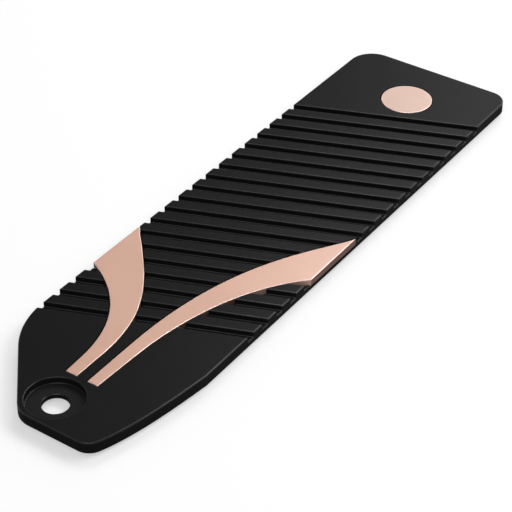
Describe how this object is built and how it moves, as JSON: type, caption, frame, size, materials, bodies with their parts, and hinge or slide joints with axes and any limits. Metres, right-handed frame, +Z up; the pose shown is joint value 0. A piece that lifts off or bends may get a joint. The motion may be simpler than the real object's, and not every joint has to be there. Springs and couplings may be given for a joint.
{
  "type": "ssd heat sink",
  "caption": "Slim finned aluminium heat sink plate for an M.2 solid-state drive, with slanted fins, rose-gold inlays, a round disc, a counterbored screw hole and a thermal pad.",
  "frame": {"origin": "centre of the outline in plan, on the face of the thermal pad that touches the drive", "axes": "+X along the plate from the screw nose to the far land, +Y towards the left long edge, +Z up through the fins"},
  "size_m": [0.0936, 0.025, 0.0022],
  "materials": {
    "black_anodised": "satin black anodised",
    "rose_gold": "fine satin rose-gold anodised",
    "grey_silicone": "matt filled silicone"
  },
  "bodies": {
    "root": {"heat_sink_body": "black_anodised", "left_inlay": "rose_gold", "right_inlay": "rose_gold", "badge_disc": "rose_gold", "thermal_pad": "grey_silicone"}
  },
  "joints": []
}
